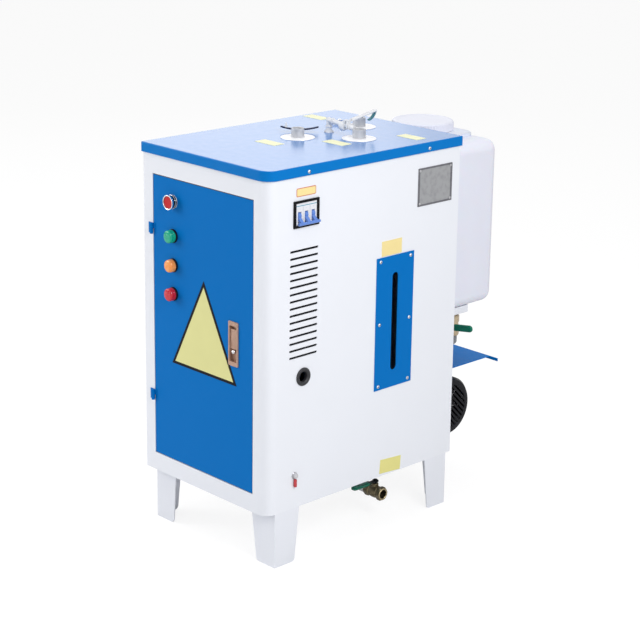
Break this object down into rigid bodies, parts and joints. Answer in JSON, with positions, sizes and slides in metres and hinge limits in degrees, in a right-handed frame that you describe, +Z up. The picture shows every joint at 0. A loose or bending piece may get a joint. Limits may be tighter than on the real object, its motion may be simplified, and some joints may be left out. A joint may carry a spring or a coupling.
{
  "type": "electric steam boiler",
  "caption": "Electric steam boiler: sheet steel cabinet on legs with a hinged door, gauge glass, lamps and steam outlets, and a water tank and feed pump behind.",
  "frame": {"origin": "middle of the whole object's footprint, on the floor under the legs", "axes": "+Z up, the cabinet's door faces -Y, the breaker and gauge glass face +X, the water tank is towards +Y"},
  "size_m": [0.3882, 0.738, 0.8477],
  "materials": {
    "cabinet_white": "smooth powder coat",
    "leg_white": "smooth powder coat",
    "lid_blue": "smooth gloss powder coat",
    "door_blue": "smooth powder coat",
    "bright_steel": "zinc plated",
    "chrome_trim": "polished",
    "button_red": "smooth",
    "black_plastic": "fine grain",
    "lens_green": "clear tinted",
    "lens_amber": "clear tinted",
    "lens_red": "clear tinted",
    "satin_nickel": "satin",
    "plate_yellow": "printed, bare, with a dark border",
    "breaker_white": "smooth",
    "toggle_blue": "smooth",
    "label_cream": "bare adhesive label",
    "grommet_rubber": "matt",
    "sleeve_red": "smooth",
    "gauge_glass": "clear",
    "brass_fitting": "machined",
    "plate_aluminium": "satin, bare",
    "escutcheon_steel": "polished",
    "socket_steel": "machined",
    "handle_navy": "gloss",
    "handle_blue": "gloss",
    "relief_white": "satin",
    "drum_steel": "as rolled",
    "jacket_wool": "foil faced wool",
    "inner_zinc": "zinc plated",
    "cream_plastic": "smooth",
    "switch_grey": "smooth",
    "pipe_grey": "galvanised",
    "valve_bronze": "dark, as cast",
    "sleeve_green": "soft vinyl over steel",
    "tank_plastic": "smooth, a little translucent",
    "cap_plastic": "smooth",
    "hose_plastic": "soft, smooth",
    "pipe_copper": "drawn copper",
    "motor_black": "satin enamel",
    "pump_iron": "painted dark"
  },
  "bodies": {
    "cabinet": {"front_frame": "cabinet_white", "side_and_back_sheets": "cabinet_white", "base_pan": "cabinet_white", "legs": "leg_white", "top_lid": "lid_blue", "panel_screws": "bright_steel", "hinge_brackets": "door_blue", "breaker_frame": "black_plastic", "breaker_body": "breaker_white", "label_plates": "label_cream", "cable_grommet": "grommet_rubber", "earth_screw": "bright_steel", "earth_terminal": "sleeve_red", "sight_plate": "door_blue", "sight_glass": "gauge_glass", "sight_cocks": "brass_fitting", "name_plate": "plate_aluminium", "outlet_escutcheons": "escutcheon_steel", "outlet_sockets": "socket_steel", "vent_cocks": "brass_fitting", "relief_valve": "relief_white", "boiler_drum": "drum_steel", "drum_jacket": "jacket_wool", "heater_unit": "socket_steel", "partition_plate": "inner_zinc", "contactor": "cream_plastic", "terminal_block": "black_plastic", "pressure_switch": "switch_grey", "drain_pipe": "pipe_grey", "drain_valve": "valve_bronze", "water_tank": "tank_plastic", "tank_shelf": "leg_white", "tank_valve": "brass_fitting", "feed_hose": "hose_plastic", "feed_pipe": "pipe_copper", "pump_motor": "motor_black", "fan_cowl": "motor_black", "pump_head": "pump_iron", "pump_cover": "door_blue", "pump_bracket": "leg_white"},
    "door": {"door_panel": "door_blue", "start_button_housing": "chrome_trim", "lamp_bodies": "black_plastic", "lamp_lens_green": "lens_green", "lamp_lens_amber": "lens_amber", "lamp_lens_red": "lens_red", "latch_housing": "satin_nickel", "triangle_plate": "plate_yellow"},
    "start_button": {"start_button_cap": "button_red"},
    "latch_paddle": {"latch_paddle": "satin_nickel"},
    "latch_release": {"latch_button": "chrome_trim"},
    "latch_bolt": {"latch_bolt": "bright_steel"},
    "breaker_toggle": {"breaker_toggle": "toggle_blue"},
    "front_wing": {"front_wing_handle": "handle_navy"},
    "rear_wing": {"rear_wing_handle": "handle_blue"},
    "relief_lever": {"relief_lever": "relief_white"},
    "drain_lever": {"drain_lever": "sleeve_green"},
    "tank_valve_lever": {"tank_valve_lever": "sleeve_green"},
    "tank_cap": {"tank_cap": "cap_plastic"},
    "pump_rotor": {"pump_rotor": "bright_steel"}
  },
  "joints": [
    {"name": "door_swing", "type": "hinge", "parent": "cabinet", "child": "door", "pos_m": [-0.1615, -0.3565, 0.45], "axis": [0, 0, -1], "range_deg": [0, 110]},
    {"name": "start_button_press", "type": "slide", "parent": "door", "child": "start_button", "axis": [0, 1, 0], "range_m": [0, 0.004], "stiffness_N_per_m": 400, "springref_m": -0.004},
    {"name": "latch_paddle_lift", "type": "hinge", "parent": "door", "child": "latch_paddle", "pos_m": [0.0853, -0.352, 0.474], "axis": [-1, 0, 0], "range_deg": [0, 40], "stiffness_Nm_per_rad": 0.08, "springref_deg": -5.73},
    {"name": "latch_release_press", "type": "slide", "parent": "door", "child": "latch_release", "axis": [0, 1, 0], "range_m": [0, 0.003], "stiffness_N_per_m": 300, "springref_m": -0.002},
    {"name": "latch_bolt_draw", "type": "slide", "parent": "door", "child": "latch_bolt", "axis": [-1, 0, 0], "range_m": [0, 0.008]},
    {"name": "breaker_toggle_throw", "type": "hinge", "parent": "cabinet", "child": "breaker_toggle", "pos_m": [0.176, -0.2552, 0.706], "axis": [0, -1, 0], "range_deg": [0, 80]},
    {"name": "front_wing_turn", "type": "hinge", "parent": "cabinet", "child": "front_wing", "pos_m": [-0.06, -0.049, 0.806], "axis": [0, 0, 1], "range_deg": [0, 90]},
    {"name": "rear_wing_turn", "type": "hinge", "parent": "cabinet", "child": "rear_wing", "pos_m": [-0.07, 0.076, 0.806], "axis": [0, 0, 1], "range_deg": [0, 90]},
    {"name": "relief_lever_lift", "type": "hinge", "parent": "cabinet", "child": "relief_lever", "pos_m": [0.032, -0.004, 0.831], "axis": [1, 0, 0], "range_deg": [0, 25], "stiffness_Nm_per_rad": 1, "springref_deg": -5.73},
    {"name": "drain_lever_turn", "type": "hinge", "parent": "cabinet", "child": "drain_lever", "pos_m": [0.136, -0.004, 0.081], "axis": [0, 0, 1], "range_deg": [0, 90]},
    {"name": "tank_lever_turn", "type": "hinge", "parent": "cabinet", "child": "tank_valve_lever", "pos_m": [0.105, 0.237, 0.3635], "axis": [0, 1, 0], "range_deg": [0, 90]},
    {"name": "tank_cap_lift", "type": "slide", "parent": "cabinet", "child": "tank_cap", "axis": [0, 0, 1], "range_m": [0, 0.06]},
    {"name": "pump_shaft_spin", "type": "hinge", "parent": "cabinet", "child": "pump_rotor", "pos_m": [-0.005, 0.264, 0.17], "axis": [1, 0, 0], "continuous": true}
  ],
  "couplings": [
    {"joint": "latch_bolt_draw", "follows": "latch_paddle_lift", "m_per_rad": 0.0114}
  ]
}
